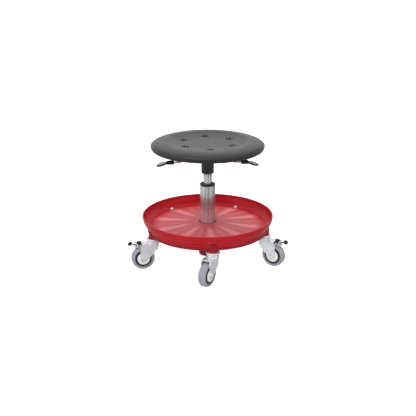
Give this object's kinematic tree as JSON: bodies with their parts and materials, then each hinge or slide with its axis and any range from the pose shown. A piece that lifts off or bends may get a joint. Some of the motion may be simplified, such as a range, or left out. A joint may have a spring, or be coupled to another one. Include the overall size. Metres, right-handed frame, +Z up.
{
  "type": "creeper seat",
  "caption": "Rolling workshop stool: round dished foam seat on a gas lift, above a round fluted tool tray on swivel castors, with two seat levers and foot brakes.",
  "frame": {"origin": "on the floor, on the column's axis", "axes": "+Z up; the front castor's swivel axis lies towards -Y; the height lever points towards +X and the tilt lever towards -X, turned 3 degrees with the seat"},
  "size_m": [0.5128, 0.4749, 0.398],
  "materials": {
    "tray_red": "moulded, satin gloss",
    "base_red": "moulded, satin",
    "zinc": "bright zinc plated",
    "chrome": "polished chrome",
    "bare_steel": "ground steel",
    "black_steel": "black paint",
    "black_plastic": "moulded, satin",
    "black_rubber": "matte",
    "cream_plastic": "moulded",
    "grey_rubber": "smooth, non-marking",
    "seat_foam": "moulded foam, matte"
  },
  "bodies": {
    "base": {"tool_tray": "tray_red", "base": "base_red", "castor_bolts": "zinc", "castor_nuts": "zinc", "swivel_heads": "zinc", "column_tube": "chrome", "guide_bush": "black_plastic", "thrust_bearing": "bare_steel"},
    "piston_rod": {"piston_rod": "bare_steel", "rod_buffer": "black_rubber", "retaining_clip": "bare_steel"},
    "lift": {"gas_cylinder": "chrome", "cone_cover": "black_plastic", "mechanism_pan": "black_steel", "taper_socket": "black_steel", "lever_brackets": "black_steel", "lever_pins": "bare_steel", "tilt_pin": "bare_steel"},
    "seat": {"tilt_plate": "black_steel", "tilt_brackets": "black_steel", "seat_board": "black_plastic", "seat_screws": "zinc", "seat_cushion": "seat_foam"},
    "height_lever": {"height_lever": "zinc", "height_lever_grip": "black_plastic"},
    "tilt_lever": {"tilt_lever": "zinc", "tilt_lever_grip": "black_plastic"},
    "valve_pin": {"valve_pin": "bare_steel"},
    "front_fork": {"front_castor_fork": "zinc", "front_castor_axle": "zinc", "front_castor_guards": "cream_plastic"},
    "front_wheel": {"front_castor_rim": "black_plastic", "front_castor_tyre": "grey_rubber"},
    "right_fork": {"right_castor_fork": "zinc", "right_castor_axle": "zinc", "right_castor_guards": "cream_plastic", "right_brake_pin": "zinc"},
    "right_wheel": {"right_castor_rim": "black_plastic", "right_castor_tyre": "grey_rubber"},
    "right_brake": {"right_brake_lever": "zinc", "right_brake_pedals": "black_plastic"},
    "rear_right_fork": {"rear_right_castor_fork": "zinc", "rear_right_castor_axle": "zinc", "rear_right_castor_guards": "cream_plastic"},
    "rear_right_wheel": {"rear_right_castor_rim": "black_plastic", "rear_right_castor_tyre": "grey_rubber"},
    "rear_left_fork": {"rear_left_castor_fork": "zinc", "rear_left_castor_axle": "zinc", "rear_left_castor_guards": "cream_plastic"},
    "rear_left_wheel": {"rear_left_castor_rim": "black_plastic", "rear_left_castor_tyre": "grey_rubber"},
    "left_fork": {"left_castor_fork": "zinc", "left_castor_axle": "zinc", "left_castor_guards": "cream_plastic", "left_brake_pin": "zinc"},
    "left_wheel": {"left_castor_rim": "black_plastic", "left_castor_tyre": "grey_rubber"},
    "left_brake": {"left_brake_lever": "zinc", "left_brake_pedals": "black_plastic"}
  },
  "joints": [
    {"name": "rod_turn", "type": "hinge", "parent": "base", "child": "piston_rod", "pos_m": [0, 0, 0.03], "axis": [0, 0, 1], "continuous": true},
    {"name": "height_slide", "type": "slide", "parent": "piston_rod", "child": "lift", "axis": [0, 0, 1], "range_m": [0, 0.125]},
    {"name": "seat_tilt", "type": "hinge", "parent": "lift", "child": "seat", "pos_m": [-0.00146, -0.02796, 0.3545], "axis": [0.9986, -0.0523, 0], "range_deg": [0, 8]},
    {"name": "height_lever_lift", "type": "hinge", "parent": "lift", "child": "height_lever", "pos_m": [0.03795, -0.00199, 0.354], "axis": [-0.0523, -0.9986, 0], "range_deg": [0, 5]},
    {"name": "tilt_lever_lift", "type": "hinge", "parent": "lift", "child": "tilt_lever", "pos_m": [-0.03795, 0.00199, 0.354], "axis": [0.0523, 0.9986, 0], "range_deg": [0, 5]},
    {"name": "valve_press", "type": "slide", "parent": "lift", "child": "valve_pin", "axis": [0, 0, -1], "range_m": [0, 0.0035]},
    {"name": "front_swivel", "type": "hinge", "parent": "base", "child": "front_fork", "pos_m": [0, -0.189, 0.09], "axis": [0, 0, 1], "continuous": true},
    {"name": "front_roll", "type": "hinge", "parent": "front_fork", "child": "front_wheel", "pos_m": [-0.02057, -0.21732, 0.0375], "axis": [0.809, -0.5878, 0], "continuous": true},
    {"name": "right_swivel", "type": "hinge", "parent": "base", "child": "right_fork", "pos_m": [0.17975, -0.0584, 0.09], "axis": [0, 0, 1], "continuous": true},
    {"name": "right_roll", "type": "hinge", "parent": "right_fork", "child": "right_wheel", "pos_m": [0.20877, -0.07798, 0.0375], "axis": [0.5592, 0.829, 0], "continuous": true},
    {"name": "right_brake_press", "type": "hinge", "parent": "right_fork", "child": "right_brake", "pos_m": [0.19301, -0.06735, 0.0752], "axis": [0.5592, 0.829, 0], "range_deg": [0, 4]},
    {"name": "rear_right_swivel", "type": "hinge", "parent": "base", "child": "rear_right_fork", "pos_m": [0.11109, 0.1529, 0.09], "axis": [0, 0, 1], "continuous": true},
    {"name": "rear_right_roll", "type": "hinge", "parent": "rear_right_fork", "child": "rear_right_wheel", "pos_m": [0.1242, 0.18536, 0.0375], "axis": [-0.9272, 0.3746, 0], "continuous": true},
    {"name": "rear_left_swivel", "type": "hinge", "parent": "base", "child": "rear_left_fork", "pos_m": [-0.11109, 0.1529, 0.09], "axis": [0, 0, 1], "continuous": true},
    {"name": "rear_left_roll", "type": "hinge", "parent": "rear_left_fork", "child": "rear_left_wheel", "pos_m": [-0.12533, 0.18488, 0.0375], "axis": [-0.9135, -0.4067, 0], "continuous": true},
    {"name": "left_swivel", "type": "hinge", "parent": "base", "child": "left_fork", "pos_m": [-0.17975, -0.0584, 0.09], "axis": [0, 0, 1], "continuous": true},
    {"name": "left_roll", "type": "hinge", "parent": "left_fork", "child": "left_wheel", "pos_m": [-0.21432, -0.06388, 0.0375], "axis": [0.1564, -0.9877, 0], "continuous": true},
    {"name": "left_brake_press", "type": "hinge", "parent": "left_fork", "child": "left_brake", "pos_m": [-0.19555, -0.06091, 0.0752], "axis": [0.1564, -0.9877, 0], "range_deg": [0, 4]}
  ],
  "couplings": [
    {"joint": "valve_press", "follows": "height_lever_lift", "m_per_rad": 0.038}
  ]
}
